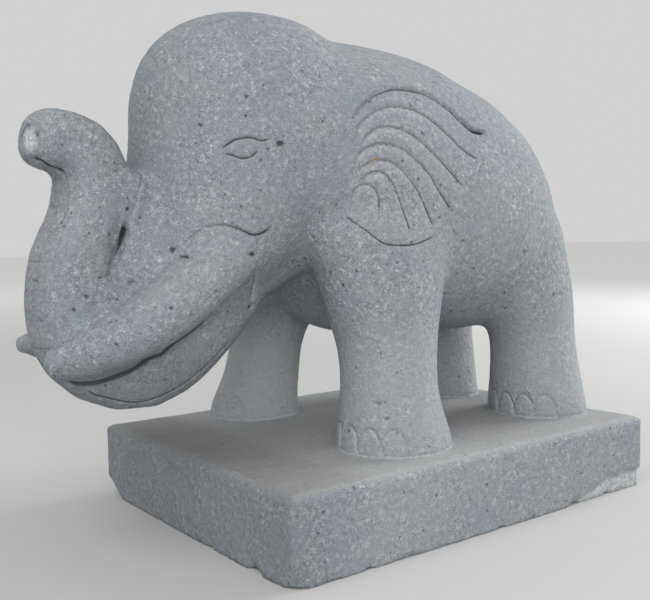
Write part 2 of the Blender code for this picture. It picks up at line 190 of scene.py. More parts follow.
LIP = (
    (-204, 218), (-200, 226), (-194, 232), (-187, 235), (-180, 235), (-171, 232), (-162, 228), (-154, 229),
    (-147, 234),
)
TUSK_UNDERSIDE = (
    (-274.8, -0.7, 129.9), (-269.9, -6.4, 129.3), (-264, -11.7, 129.2), (-251.9, -18, 130.7),
    (-235.8, -20.6, 135.5), (-223.7, -24.5, 141.8), (-213.3, -23.5, 144.9), (-206.4, -27.5, 150),
    (-197, -28.9, 155.2), (-187.6, -30, 160.7), (-179.3, -31.9, 167.1), (-172.1, -35.7, 174.5),
    (-164.8, -40.9, 182), (-158.1, -44.4, 188.4), (-153.2, -49.2, 194.1),
)
TUSK_CREASE = ((-289, 149), (-279, 156), (-266, 164), (-257, 170), (-246, 178), (-233, 189))
TUSK_FILL = ((-262, 167), (-246, 178), (-233, 189), (-220, 200), (-207, 210), (-196, 219))
TUSK_FILL_REACH = 0.022
TRUNK_NOTCH = ((-252, 198), (-246, 206), (-239, 219), (-234, 231), (-232, 239))
TRUNK_ROOT = ((-231, 232), (-228, 244), (-222, 262), (-211, 280))
PANEL_EDGE = (
    (-266.2, -11.3, 124.5), (-258.4, -11.1, 119.3), (-251.9, -13, 115.9), (-241, -13.3, 113.1),
    (-225.8, -13.2, 110.4), (-212, -17.4, 112.1), (-196.2, -18.4, 117.7), (-180.5, -20.6, 127.3),
    (-165.4, -21.6, 138.6), (-153.7, -23.2, 150.6),
)
TIP_HOLLOW = (
    (-288.6, 12.1, 282.6), (-286.2, 3.1, 281.2), (-281.6, 2.9, 278.7), (-275.6, 6.2, 277.1),
    (-271.4, 2.6, 274.8), (-267.3, -1.5, 272.6),
)
JAW_CHASE = (
    (-158.1, -63.2, 204.4), (-149.2, -49.9, 198), (-143.8, -40.9, 191.6), (-141.4, -33.8, 184.5),
    (-139.8, -27.9, 177.3),
)
JAW_HOLLOW = ((-143.7, -29.8, 175.3), (-139, -27.9, 172.7), (-134, -26, 171.5))
UPPER_WRINKLES = (
    ((-263, 269), (-252, 266), (-237, 269)),
    ((-268, 254), (-253, 248), (-231, 251)),
    ((-272, 243), (-254, 239), (-230, 243)),
)

# How a line is cut: its depth, its width above and below, the share of the depth at its start and end,
# and how dark its bed is painted, as painted shade, and how pale its shoulders are
Cut = namedtuple("Cut", "depth above below start end dark pale")

# The cut for each of the flank's lines, with the lines that have it
FLANK_LINES = (
    (Cut(0.0056, 0.0024, 0.0046, 0.5, 1, 1, 0.1), EAR_TOP),
    (Cut(0.0008, 0.002, 0.002, 0.2, 1, 0.1, 0), EAR_REAR),
    (Cut(0.0018, 0.0014, 0.0018, 0.9, 1, 0.85, 0.3), EAR_FOOT),
    (Cut(0.0032, 0.001, 0.008, 1, 0.1, 0, 0.45), *EAR_RIBS),
    (Cut(0.0019, 0.0012, 0.0016, 0.6, 1, 0.9, 0), *EAR_RIBS),
    (Cut(0.0023, 0.0016, 0.0024, 0.9, 0.8, 0.9, 0.2), UPPER_EYELID, LOWER_EYELID),
    (Cut(0.003, 0.0014, 0.0034, 0.4, 1, 0.8, 0.1), LIP),
    (Cut(0.0034, 0.0042, 0.0075, 1, 0.5, 1, 0), TUSK_UNDERSIDE),
    (Cut(0.0014, 0.004, 0.0014, 1, 0.1, 0.3, 0), TUSK_CREASE),
    (Cut(0.0018, 0.002, 0.0028, 1, 0.55, 1, 0), PANEL_EDGE),
    (Cut(0.008, 0.004, 0.0045, 0.15, 1, 1, 0), TRUNK_NOTCH),
    (Cut(0.001, 0.002, 0.003, 0.6, 1, 0, 0.35), TRUNK_ROOT),
    (Cut(0.0034, 0.0055, 0.006, 0.8, 1, 1, 0.1), TIP_HOLLOW),
    (Cut(0.0026, 0.004, 0.0045, 0.8, 1, 0.4, 0.6), JAW_CHASE),
    (Cut(0.0034, 0.0055, 0.0065, 1, 0.8, 1, 0), JAW_HOLLOW),
    (Cut(0.0006, 0.0025, 0.0025, 0.4, 0.4, 0.1, 0.1), *UPPER_WRINKLES),
)
BAND_CUT = Cut(0.001, 0.0012, 0.0012, 1, 1, 0.2, 0.3)
FOLD_CUT = Cut(0.0016, 0.001, 0.0014, 0.6, 0.8, 0.6, 0.1)
NAIL_CUT = Cut(0.0021, 0.0015, 0.0026, 0.9, 0.9, 0.5, 0.45)
FOOT_CUT = Cut(0.0012, 0.0016, 0.0016, 1, 1, 0, 0.85)
GROOVE_END = 0.006
SHOULDER_POWER = 1.6

# The ridged band down the outer side of the trunk, and the folds across it
BAND_SHARE = 0.68
BAND_START = 0.065
FOLD_SPACING = 0.021

# Toenails: an arch of this half width and height, set round the front of each foot
NAIL_HALF_WIDTH = 0.0115
NAIL_HEIGHT = 0.021
NAIL_COUNT = 4
NAIL_FIRST_TURN = math.radians(152)
NAIL_TURN = math.radians(26)
FOOT_LINE_HEIGHT = 0.0015

# Marks on the near flank, in millimetres but for the tone, which is darker (-) or paler (+)
Blemish = namedtuple("Blemish", "x z half_length half_height depth tone")
BLEMISHES = [Blemish(*(size / 1000 for size in mark[:-1]), mark[-1]) for mark in (
    (-144, 291.5, 4.8, 2.8, 1.6, -0.9),
    (-160, 285, 3.5, 2.2, 0.5, -0.4),
    (-162, 214, 4, 1.8, 2.4, -1),
    (-208, 219, 1.8, 2.4, 1.4, -0.9),
    (-204.5, 214, 2.2, 1.6, 1.2, -0.9),
    (-80, 279, 3.2, 2.2, 0.4, 0),
    (64, 247, 4.5, 1, 0.3, 0.9),
    (141, 114, 2.8, 2.6, 0.4, 0.9),
    (-136, 325, 1.5, 1.5, 0.8, -0.9),
    (-165, 323, 1.4, 1.4, 0.8, -0.9),
    (-190, 305, 1.7, 1.7, 1, -1),
    (-89, 372, 1.8, 1.6, 0.8, -0.9),
    (-75, 91, 1.9, 1.5, 1, -0.9),
    (-78, 102, 2.2, 1.8, 1.2, -0.9),
    (-172, 146, 1.3, 1.3, 0.8, -0.8),
    (-255, 201, 2.2, 1.1, 1.2, -0.9),
    (-247, 230, 1.6, 1.3, 1, -0.8),
    (-292, 200, 1.8, 2.2, 1, -0.8),
    (-232, 248, 1.5, 1.8, 1, -0.9),
    (-62, 250, 1.5, 1.3, 0.8, -0.8),
    (-35, 288, 1.6, 2.4, 0.6, -0.7),
    (-174, 222, 1.8, 1.4, 0.3, 0.9),
    (-215, 212, 1.8, 1.8, 0.3, 0.8),
    (-181, 156, 1.6, 1.6, 0.3, 0.8),
    (-162, 237, 1.4, 1.4, 0.3, 0.9),
    (-182, 309, 1.5, 1.3, 0.3, 0.7),
)]
BLEMISH_DARKNESS = 0.6
# Channels of the marks: pale bruises; dark marks, with the painted shade in the cuts; the plinth's top, worn
# and painted warmer as lit
PALE, DARK, TRODDEN_AND_WARM_LIT = 0, 1, 2
TOP_REACH, TOP_FADE = 0.003, 0.002
# Stains on the plinth's top: x, y, half length, half width, and how dark
STAINS = (
    (-0.125, -0.08, 0.0075, 0.0035, 0.24),
    (-0.137, 0.016, 0.006, 0.003, 0.3),
    (-0.141, -0.124, 0.015, 0.008, 0.22),
    (-0.15, -0.136, 0.003, 0.002, 0.3),
)
TIP_RUB = (-0.2915, 0.003, 0.2945)
TIP_RUB_REACH = 0.0095
RUB_RIM, RUB_RIM_WIDTH, RUB_RIM_HEIGHT, RUB_RIM_DARKNESS = 1.15, 0.25, 0.004, 0.7
RUST_SPOT = (-0.080, -0.106, 0.279)
RUST_REACH = 0.0035

# Chips along the plinth's foot, the wedge lost at its far front corner and the wear of its near front corner
CHIP_ZONE = 0.020
CHIP_REACH = 0.010
CHIP_LIFT = 0.8
WEDGE_LENGTH, WEDGE_WIDTH, WEDGE_HEIGHT = 0.030, 0.032, 0.018
WEDGE_SHIFT = (0, -0.016, 0.009)
WEAR_REACH, WEAR_HEIGHT = 0.014, 0.016
WEAR_SHIFT = (0.0045, 0.0045, 0.0020)

# The fresh break at the foot of the plinth's near rear corner
BREAK_START_X, BREAK_LEVEL_X, BREAK_END_X = 0.10, 0.137, 0.17
BREAK_TOP, BREAK_SLOPE = 0.0165, 0.34
BREAK_PATCH, BREAK_RAGGEDNESS, BREAK_BORDER = 0.006, 0.0022, 0.003
BREAK_DEPTH = 0.012
BREAK_SIDE_LOSS, BREAK_END_LOSS = 0.0022, 0.0028
BREAK_PALENESS = 0.75

# The stone's noises: patches to the metre, detail, roughness and shift, then from where to where each one
# turns pale and dark, and how far
Grain = namedtuple("Grain", "per_metre detail roughness shift pale dark")
MOTTLE = Grain(250, 3, 0.6, 1.0, (0.52, 0.68, 0.62), (0.48, 0.33, 0.52))
FINE_GRAIN = Grain(560, 4, 0.8, 2.0, (0.53, 0.68, 0.80), (0.47, 0.33, 0.75))
GRIT = Grain(1300, 2, 0.7, 6.0, (0.52, 0.64, 0.50), (0.48, 0.36, 0.50))
CLOUDS, CLOUD_RANGE = (13, 3, 0.55), (0.35, 0.65)
BLOTCHES, BLOTCH_RANGE = (34, 2, 0.5, 3.0), (0.36, 0.66)
CRUSHED = (330, 3, 0.7, 4.0)
CALMEST, TRODDEN_CALM, TRODDEN_AND_WARM_LIT_SHARE = 0.55, 0.6, 0.8

# Its spots: cells to the metre, outer and inner reach, rarity, and how strongly they show
Spots = namedtuple("Spots", "per_metre outer inner rarity share")
FLECK = Spots(380, 0.34, 0.14, 0.84, 0.60)
PIT = Spots(230, 0.34, 0.12, 0.955, 0.70)
HOLE = Spots(36, 0.060, 0.025, 0.87, 0.85)
WANDER_SCALE, WANDER = 700, 0.0024
BRUISE_RANGE = (0.40, 0.60, 0.30, 0.95)
# The dark marks turn to the pore colour over this range: painted shade in the cuts, dark blemishes and stains
CREVICE_RANGE = (0.12, 0.62, 0.0, 0.92)
RUST_SHARE, RUST_EDGE = 0.8, (0.3, 0.7, -0.0012, 0.0012)

# Its fine relief: the depth, and how much each noise and kind of spot gives
RELIEF, MOTTLE_RELIEF, PIT_RELIEF, HOLE_RELIEF = 0.0012, 1.6, 0.9, 1.8
ROUGHNESS_RANGE = (0.3, 0.7, 0.94, 0.82)
SPECULAR = 0.3

# Pale dust on the legs, made paler on the far side as painted light, and painted shade under the trunk and
# down the plinth's front: from where to where along an axis, and how much
DUST_Z, DUST_X = (0.18, 0.12, 0.0, 0.30), (-0.14, -0.11)
DUST_OFF_GROUND, FAR_SIDE_PAINTED_LIGHT = (0.058, 0.064, 0.3, 1.0), (0.02, 0.07, 1.0, 1.9)
PAINTED_SHADE_Z, PAINTED_SHADE_X = (0.165, 0.125, 0.0, 0.24), (-0.13, -0.19)

# The studio: the floor and how it fades paler further off, as painted light where the softboxes don't reach,
# the softboxes and what they are aimed at, and the camera
FLOOR_HALF_SIZE, FLOOR_FADE, FLOOR_ROUGHNESS = 15, (0.8, 3.5), 0.95
SOFTBOX_SIZE = 1.4
SOFTBOXES = {
    "side_light": (2.4, -0.4, 0.9),
    "front_light": (-1.1, -1.7, 0.7),
    "top_light": (-1.3, -0.4, 1.9),
}
AIM = (-0.03, 0.0, 0.2)
SENSOR, LENS, NEAREST = 36, 48.456, 0.01
CAMERA_PLACE = (-0.48796, -0.59523, 0.22494)
CAMERA_TURNS = (85.909, 1.298, -36.546)

# How finely the forms, the skin and the carved lines are worked out
FORWARD = Vector((-1, 0, 0))
UPWARD = Vector((0, 0, 1))
SIDEWAYS = Vector((0, 1, 0))
RING_SIDES = 64
RING_SPACING = 0.010
DOME_RINGS = 6
VOXEL = 0.003
PLINTH_GRID = 0.002
SOFTENING_STEPS = 60
LINE_SPACING = 0.001
FINEST_REACH = 0.0018
DRESSING_PATCH = 0.030
PICKING_PATCH = 0.006
FOLD_POINTS = 50
ARCH_POINTS = 40
FOOT_POINTS = 200
BEYOND = 0.400
TRIANGLES = 190000


def metres(name, default, description):
    """A length that a user may change."""
    return bpy.props.FloatProperty(
        name=name, default=default, min=0.0, precision=4, subtype="DISTANCE", unit="LENGTH",
        description=description,
    )


def tint(name, default, description):
    """A colour that a user may change."""
    return bpy.props.FloatVectorProperty(
        name=name, default=(*default, 1.0), size=4, min=0.0, max=1.0, subtype="COLOR", description=description
    )


def watts(name, default, description):
    """The power of a light that a user may change."""
    return bpy.props.FloatProperty(
        name=name, default=default, min=0.0, subtype="POWER", unit="POWER", description=description
    )


class ElephantSizes(bpy.types.PropertyGroup):
    """Sizes of the plinth and of the tool's marks."""

    plinth_length: metres("Plinth length", 0.374, "Length of the plinth, along the elephant")
    plinth_width: metres("Plinth width", 0.294, "Width of the plinth, across the elephant")
    plinth_height: metres("Plinth height", 0.062, "Height of the plinth")
    plinth_edge: metres("Plinth edge", 0.0065, "How far the plinth's upper edges are worn round")
    plinth_corner: metres("Plinth corner", 0.002, "How far the plinth's upright edges are worn round")
    edge_chips: metres("Edge chips", 0.0030, "Depth of the chips along the plinth's lower edges")
    chip_length: metres("Chip length", 0.016, "Length of one chip along the plinth's lower edges")
    dressing: metres("Dressing", 0.0005, "Depth of the broad unevenness left by the dressing of the stone")
    picking: metres("Picking", 0.00025, "Depth of the fine unevenness left by the point")


class StoneColours(bpy.types.PropertyGroup):
    """Colours of the stone and of its marks."""

    stone: tint("Stone", (0.262, 0.285, 0.306), "Main colour of the stone")
    cool_stone: tint("Cool stone", (0.225, 0.252, 0.282), "Cooler, darker clouds in the stone")
    pale_grain: tint("Pale grain", (0.50, 0.52, 0.54), "Light grains in the stone")
    dark_grain: tint("Dark grain", (0.105, 0.112, 0.120), "Dark grains in the stone")
    # The pore colour is also laid in the carved cuts as painted shade
    pore_and_painted_shade: tint("Pore", (0.035, 0.037, 0.040), "Open pores and deep crevices")
    bruise: tint("Bruise", (0.62, 0.64, 0.65), "Stone crushed pale by the chisel, or rubbed")
    # The dust colour also makes the far legs paler, as painted light
    dust_and_painted_light: tint("Dust", (0.46, 0.48, 0.49), "Pale dust low on the legs")
    # The trodden colour is the plinth's top, partly worn smoother and partly painted warmer as painted light
    trodden_and_warm_lit: tint("Trodden", (0.285, 0.287, 0.275), "Smoother, browner top of the plinth")
    rust: tint("Rust", (0.42, 0.23, 0.09), "Rust speck on the ear")


class StudioSettings(bpy.types.PropertyGroup):
    """The plain studio round the elephant."""

    floor: tint("Floor", (0.50, 0.50, 0.49), "Colour of the floor")
    # The far floor is paler as painted light, where the softboxes don't reach
    far_floor_painted_light: tint("Far floor", (0.90, 0.90, 0.89), "Colour of the floor further off")
    backdrop: tint("Backdrop", (0.80, 0.80, 0.80), "Colour of the light all round")
    backdrop_light: bpy.props.FloatProperty(
        name="Backdrop light", default=0.79, min=0.0, description="Strength of the light all round"
    )
    side_light: watts("Side light", 62.0, "Power of the rear side light")
    front_light: watts("Front light", 21.0, "Power of the front light")
    top_light: watts("Top light", 14.0, "Power of the light above")


def midline(x):
    """How far the elephant's middle line lies from the plinth's, at this x."""
    return MIDLINE_START_Y + MIDLINE_DRIFT * (MIDLINE_START_X - x)


def smooth_rows(rows, spacing=RING_SPACING):
    """Rows in metres from a Catmull-Rom curve through those given in millimetres, about the spacing apart."""
    knots = np.array(rows, float) / 1000
    knots = np.vstack([2 * knots[0] - knots[1], knots, 2 * knots[-1] - knots[-2]])
    found = []
    for before, start, end, after in zip(knots, knots[1:], knots[2:], knots[3:]):
        steps = max(1, round(np.linalg.norm(end[:3] - start[:3]) / spacing))
        for t in np.arange(steps) / steps:
            bend = (2 * before - 5 * start + 4 * end - after) * t**2
            twist = (3 * start - before - 3 * end + after) * t**3
            found.append((2 * start + (end - before) * t + bend + twist) / 2)
    found.append(knots[-2])
    return np.array(found)


def section_place(centre, ahead, half_across, half_along):
    """The matrix that puts a section of half width 1 in its place."""
    across = (SIDEWAYS - ahead * ahead.y).normalized()
    along = ahead.cross(across)
    columns = Matrix((across * half_across, along * half_along, ahead)).transposed()
    return Matrix.Translation(centre) @ columns.to_4x4()


def form_sections(kind, rows, domes, facing, leans):
    """Every section of a form and its two tips, from the first dome to the last."""
    rows = smooth_rows(rows)
    rows[:, 1] += midline(rows[:, 0])
    path = rows[:, :3]
    headings = np.gradient(path, axis=0) if facing is None else np.tile(facing, (len(path), 1))
    headings = [Vector(heading).normalized() for heading in headings]
    places = [
        section_place(Vector(row[:3]), heading, row[3], row[4]) for row, heading in zip(rows, headings)
    ]
    power = 2 / FORMS[kind].dome_squareness
    for turn in np.linspace(0, math.pi / 2, DOME_RINGS + 1)[1:-1]:
        share, width = math.sin(turn) ** power, math.cos(turn) ** power
        start = Vector(path[0]) + (leans[0] - headings[0] * domes[0]) * share
        end = Vector(path[-1]) + (leans[1] + headings[-1] * domes[1]) * share
        places.insert(0, section_place(start, headings[0], rows[0, 3] * width, rows[0, 4] * width))
        places.append(section_place(end, headings[-1], rows[-1, 3] * width, rows[-1, 4] * width))
    start = Vector(path[0]) + leans[0] - headings[0] * domes[0]
    end = Vector(path[-1]) + leans[1] + headings[-1] * domes[1]
    return places, (start, end)


def drawn_out(shape, ring):
    """The ring's edges extruded, as the new ring's edges and its points."""
    made = bmesh.ops.extrude_edge_only(shape, edges=ring)["geom"]
    points = [item for item in made if isinstance(item, bmesh.types.BMVert)]
    found = set(points)
    edges = [
        item for item in made if isinstance(item, bmesh.types.BMEdge) and found.issuperset(item.verts)
    ]
    return edges, points


def lofted(kind, rows, domes, facing=None, first_lean=(0, 0, 0), last_lean=(0, 0, 0)):
    """A closed form through the rows' sections, with domed ends.

    The sections are square to the path, or to the facing direction where one is given. Each dome's
    tip leans by the shift given for it.
    """
    leans = Vector(first_lean), Vector(last_lean)
    places, tips = form_sections(kind, rows, domes, facing, leans)
    shape = bmesh.new()
    points = bmesh.ops.create_circle(shape, cap_ends=False, segments=RING_SIDES, radius=1)["verts"]
    power = 2 / FORMS[kind].squareness
    for point in points:
        point.co.x = math.copysign(abs(point.co.x) ** power, point.co.x)
        point.co.y = math.copysign(abs(point.co.y) ** power, point.co.y)
    bmesh.ops.transform(shape, matrix=places[0], verts=points)
    first = ring = list(shape.edges)
    for place, following in zip(places, places[1:]):
        ring, points = drawn_out(shape, ring)
        bmesh.ops.transform(shape, matrix=following @ place.inverted(), verts=points)
    for end, tip in ((first, tips[0]), (ring, tips[1])):
        points = drawn_out(shape, end)[1]
        bmesh.ops.pointmerge(shape, verts=points, merge_co=tip)
    bmesh.ops.recalc_face_normals(shape, faces=shape.faces)
    return kind, shape


def elephant_forms():
    """Every form of the elephant, as (kind, bmesh)."""
    legs = (NEAR_FORELEG, FAR_FORELEG, NEAR_HIND_LEG, FAR_HIND_LEG)
    return [
        lofted("body", BODY, BODY_DOMES, FORWARD, first_lean=RUMP_LEAN),
        lofted("head", HEAD, HEAD_DOMES, UPWARD, last_lean=BROW_LEAN),
        lofted("jaw", JAW, JAW_DOMES),
        lofted("trunk", TRUNK, TRUNK_DOMES),
        lofted("trunk", TRUNK_WEB, WEB_DOMES, UPWARD),
        lofted("tusk", TUSK, TUSK_DOMES),
        lofted("tusk", FAR_TUSK, FAR_TUSK_DOMES),
        *(lofted("leg", leg, LEG_DOMES, UPWARD) for leg in legs),
    ]


def plinth_slab(sizes):
    """The plinth's slab as a grid of small squares, with its edges rounded."""
    slab = bmesh.new()
    bmesh.ops.create_cube(slab, size=1)
    size = Vector((sizes.plinth_length, sizes.plinth_width, sizes.plinth_height))
    bmesh.ops.scale(slab, vec=size, verts=slab.verts)
    bmesh.ops.translate(slab, vec=(0, 0, sizes.plinth_height / 2), verts=slab.verts)
    for axis in range(3):
        along = [
            edge for edge in slab.edges if abs(edge.verts[0].co[axis] - edge.verts[1].co[axis]) > size[axis] / 2
        ]
        cuts = round(size[axis] / PLINTH_GRID) - 1
        bmesh.ops.subdivide_edges(slab, edges=along, cuts=cuts, use_grid_fill=True)
    top, corner = sizes.plinth_edge, sizes.plinth_corner
    for point in slab.verts:
        for held, radius in (((0, 1), corner), ((0, 2), top), ((1, 2), top)):
            if 2 in held and point.co.z < size.z / 2:
                continue
            inner = point.co.copy()
            for axis in held:
                limit = size.z - radius if axis == 2 else size[axis] / 2 - radius
                inner[axis] = min(limit, max(-limit, point.co[axis]))
            aside = point.co - inner
            if aside.length > radius:
                point.co = inner + aside.normalized() * radius
    return slab


def applied(piece):
    """The piece with its modifiers applied, which are then taken off it."""
    bpy.context.view_layer.update()
    graph = bpy.context.evaluated_depsgraph_get()
    mesh = bpy.data.meshes.new_from_object(piece.evaluated_get(graph))
    piece.modifiers.clear()
    old = piece.data
    piece.data = mesh
    bpy.data.meshes.remove(old)


def linked(name, data):
    """A new object of this data, in the scene."""
    made = bpy.data.objects.new(name, data)
    bpy.context.scene.collection.objects.link(made)
    return made


def meshed(shapes, name):
    """An object of all the shapes together."""
    joined = bmesh.new()
    for shape in shapes:
        held = bpy.data.meshes.new("form")
        shape.to_mesh(held)
        joined.from_mesh(held)
        bpy.data.meshes.remove(held)
    mesh = bpy.data.meshes.new(name)
    joined.to_mesh(mesh)
    joined.free()
    return linked(name, mesh)


def one_skin(piece):
    """Makes the piece's forms one closed skin of small squares."""
    remesh = piece.modifiers.new("one skin", "REMESH")
    remesh.mode = "VOXEL"
    remesh.voxel_size = VOXEL
    applied(piece)


def join_weights(skin, forms):
    """How much each point of the skin is smoothed: where forms meet, and along the tusks' upper side."""
    trees = [(FORMS[kind], BVHTree.FromBMesh(shape)) for kind, shape in forms]
    places, _ = mesh_points(skin.data)
    weights = np.zeros(len(places))
    for index, place in enumerate(places):
        near = []
        for form, tree in trees:
            distance = tree.find_nearest(Vector(place), form.join_reach)[3]
            if distance is not None:
                near.append((distance, form.join_reach, form.fairing))
        near.sort()
        weight = near[0][2] if near else 0.0
        for i, (distance, reach, _) in enumerate(near):
            for other_distance, other_reach, _ in near[i + 1 :]:
                weight = max(weight, 1 - max(distance, other_distance) / min(reach, other_reach))
        weights[index] = weight
    tree = skin_tree(skin.data, places)
    for side in (-1, 1):
        line = flank_line(tree, TUSK_FILL, side)
        near = near_line(places, line, TUSK_FILL_REACH)
        apart = np.linalg.norm(places[near][:, None] - line[None], axis=2).min(axis=1)
        weights[near] = np.maximum(weights[near], np.clip(1.6 - 1.6 * apart / TUSK_FILL_REACH, 0, 1))
    return weights


def soften_joins(skin, forms):
    """Smooths the skin where two forms meet, as far as the sharper of the two allows."""
    weights = join_weights(skin, forms)
    group = skin.vertex_groups.new(name="joins")
    for index in np.flatnonzero(weights > 0):
        group.add((int(index),), weights[index], "REPLACE")
    smooth = skin.modifiers.new("soften joins", "SMOOTH")
    smooth.factor = 0.5
    smooth.iterations = SOFTENING_STEPS
    smooth.vertex_group = "joins"
    quarter = skin.modifiers.new("quartered", "SUBSURF")
    quarter.levels = 1
    quarter.render_levels = 1
    applied(skin)


def stood_on(skin, slab):
    """Joins the skin to the slab, which is then removed."""
    union = skin.modifiers.new("stands on the plinth", "BOOLEAN")
    union.operation = "UNION"
    union.solver = "MANIFOLD"
    union.object = slab
    applied(skin)
    bpy.data.objects.remove(slab)


def met(tree, starts, aims):
    """Where rays from the starts first meet the skin, leaving out those that miss."""
    found = []
    for start, aim in zip(starts, aims):
        place = tree.ray_cast(Vector(start), Vector(aim))[0]
        if place is not None:
            found.append(place)
    return np.array(found)


def flank_line(tree, points, side):
    """The line on one flank, drawn so that its left hand is the upper side on both."""
    points = smooth_rows(points, LINE_SPACING)
    points = points if side < 0 else points[::-1]
    if points.shape[1] == 2:
        starts = [(x, side * BEYOND, z) for x, z in points]
        return met(tree, starts, [(0, -side, 0)] * len(starts))
    if side > 0:
        points[:, 1] = 2 * midline(points[:, 0]) - points[:, 1]
    return np.array([tree.find_nearest(Vector(point))[0] for point in points])


def lengths_along(line):
    """How far along the line each of its points lies."""
    return np.concatenate([[0], np.cumsum(np.linalg.norm(np.diff(line, axis=0), axis=1))])


def band_lines(tree):
    """The two edges of the ridged band down the trunk, and the folds across it."""
    rows = smooth_rows(TRUNK, LINE_SPACING)
    rows[:, 1] += midline(rows[:, 0])
    path = rows[:, :3]
    ahead = np.gradient(path, axis=0)
    ahead /= np.linalg.norm(ahead, axis=1)[:, None]
    across = np.array(SIDEWAYS) - ahead[:, 1:2] * ahead
    across /= np.linalg.norm(across, axis=1)[:, None]
    outward = np.cross(ahead, across)
    outer = path + outward * rows[:, 4:5]
    travelled = lengths_along(outer)
    starts = path + outward * BEYOND / 4
    reach = across * rows[:, 3:4] * BAND_SHARE
    along_band = np.flatnonzero(travelled > BAND_START)
    edges = [met(tree, (starts + side * reach)[along_band], -outward[along_band]) for side in (-1, 1)]
    folds = []
    shares = np.linspace(-1, 1, FOLD_POINTS)
    for place in np.arange(BAND_START, travelled[-1], FOLD_SPACING):
        i = np.searchsorted(travelled, place)
        folds.append(met(tree, starts[i] + np.outer(shares, reach[i]), [-outward[i]] * FOLD_POINTS))
    return edges, folds


def foot_round(leg):
    """The centre and the radius of a leg, in metres, just above its foot."""
    x, y, _, radius = (size / 1000 for size in leg[1][:4])
    return np.array((x, y + midline(x))), radius


def nail_lines(tree, leg, side, ground):
    """The arches of the toenails on one foot."""
    centre, radius = foot_round(leg)
    lines = []
    for i in range(NAIL_COUNT):
        middle = -side * (NAIL_FIRST_TURN + i * NAIL_TURN)
        starts, aims = [], []
        for arch in np.linspace(0, math.pi, ARCH_POINTS):
            turn = middle + side * NAIL_HALF_WIDTH * math.cos(arch) / radius
            outward = np.array((math.cos(turn), math.sin(turn)))
            z = ground + NAIL_HEIGHT * math.sin(arch)
            starts.append((*(centre + outward * 2 * radius), z))
            aims.append((*-outward, 0))
        lines.append(met(tree, starts, aims))
    return lines


def foot_line(tree, leg, ground):
    """The line chased round one foot, just above the plinth."""
    centre, radius = foot_round(leg)
    turns = np.linspace(0, -2 * math.pi, FOOT_POINTS)
    outward = np.stack([np.cos(turns), np.sin(turns)], axis=1)
    starts = [(*(centre + aim * 2 * radius), ground + FOOT_LINE_HEIGHT) for aim in outward]
    return met(tree, starts, [(*-aim, 0) for aim in outward])


def carved_lines(tree, ground):
    """Every carved line on the skin, as (points, cut)."""
    lines = []
    for side in (-1, 1):
        for cut, *drawings in FLANK_LINES:
            if side > 0:
                cut = cut._replace(start=cut.end, end=cut.start)
            lines += [(flank_line(tree, points, side), cut) for points in drawings]
    edges, folds = band_lines(tree)
    lines += [(edge, BAND_CUT) for edge in edges]
    lines += [(fold, FOLD_CUT) for fold in folds]
    feet = ((NEAR_FORELEG, -1), (NEAR_HIND_LEG, -1), (FAR_FORELEG, 1), (FAR_HIND_LEG, 1))
    for leg, side in feet:
        lines += [(nail, NAIL_CUT) for nail in nail_lines(tree, leg, side, ground)]
        lines.append((foot_line(tree, leg, ground), FOOT_CUT))
    return [(line, cut) for line, cut in lines if len(line) > 1]


def mesh_points(mesh):
    """The places of the mesh's points, and the way the surface faces at each."""
    places = np.empty(len(mesh.vertices) * 3)
    mesh.vertices.foreach_get("co", places)
    facing = np.empty(len(places), np.float32)
    mesh.vertex_normals.foreach_get("vector", facing)
    return places.reshape(-1, 3), facing.reshape(-1, 3).astype(float)


def skin_tree(mesh, places):
    return BVHTree.FromPolygons(
        [tuple(place) for place in places], [tuple(face.vertices) for face in mesh.polygons]
    )


def near_line(places, line, reach):
    """Which places lie in the line's own box, widened by the reach."""
    low, high = line.min(axis=0) - reach, line.max(axis=0) + reach
    return np.flatnonzero(((places > low) & (places < high)).all(axis=1))


def groove_depth(places, facing, line, cut):
    """How deep a groove cuts at each place: a steep wall above its line, a rounded shoulder below."""
    tangents = np.gradient(line, axis=0)
    travelled = lengths_along(line)
    nearest = ((line**2).sum(axis=1) - 2 * places @ line.T).argmin(axis=1)
    apart = places - line[nearest]
    distance = np.linalg.norm(apart, axis=1)
    left = (apart * np.cross(facing, tangents[nearest])).sum(axis=1) > 0
    place = travelled[nearest]
    share = cut.start + (cut.end - cut.start) * place / travelled[-1]
    fade = np.clip(np.minimum(place, travelled[-1] - place) / GROOVE_END, 0.1, 1)
    wall = np.clip(1 - distance / cut.above, 0, 1)
    shoulder = np.clip(1 - distance / cut.below, 0, 1) ** SHOULDER_POWER
    return cut.depth * share * fade * np.where(left, wall, shoulder)


def grooves(places, facing, lines):
    """How deep all the lines together cut at each place."""
    deep = np.zeros(len(places))
    for line, cut in lines:
        near = near_line(places, line, max(cut.above, cut.below))
        deep[near] = np.maximum(deep[near], groove_depth(places[near], facing[near], line, cut))
    return deep


def finer_near(mesh, lines, widest=1.0):
    """Cuts the skin's faces in four again along the carved lines, no further from them than the widest."""
    places, _ = mesh_points(mesh)
    close = np.zeros(len(places), bool)
    for line, cut in lines:
        reach = min(widest, max(cut.above, cut.below))
        near = near_line(places, line, reach)
        squared = (line**2).sum(axis=1) - 2 * places[near] @ line.T
        distance = squared.min(axis=1) + (places[near] ** 2).sum(axis=1)
        close[near[distance < reach**2]] = True
    shape = bmesh.new()
    shape.from_mesh(mesh)
    shape.verts.ensure_lookup_table()
    faces = {face for i in np.flatnonzero(close) for face in shape.verts[i].link_faces}
    edges = list({edge for face in faces for edge in face.edges})
    bmesh.ops.subdivide_edges(shape, edges=edges, cuts=1, use_grid_fill=True)
    shape.to_mesh(mesh)
    shape.free()


